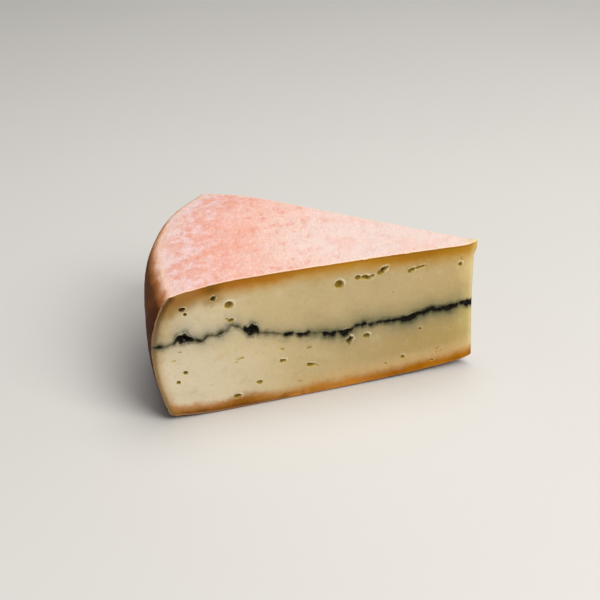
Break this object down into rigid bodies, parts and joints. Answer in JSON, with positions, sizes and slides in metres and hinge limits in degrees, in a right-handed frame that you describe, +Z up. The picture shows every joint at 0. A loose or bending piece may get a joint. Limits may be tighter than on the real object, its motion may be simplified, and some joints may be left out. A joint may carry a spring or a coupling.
{
  "type": "morbier cheese wedge",
  "caption": "Wedge of a round semi-soft cheese with a thin washed rind on top, heel and base and a wavy ash layer through its middle, standing on its flat base.",
  "frame": {"origin": "middle of the bounding box at the base, on the surface the wedge rests on", "axes": "+Z up, +X from the rind heel towards the tip along the wedge's middle, -Y towards the first cut face"},
  "size_m": [0.1703, 0.1346, 0.0726],
  "materials": {
    "paste": "soft satin cheese paste, with the thin salmon to brown rind coloured on it",
    "ash": "matt dark ash, uneven"
  },
  "bodies": {
    "root": {"paste_upper": "paste", "ash_layer": "ash", "paste_lower": "paste"}
  },
  "joints": []
}
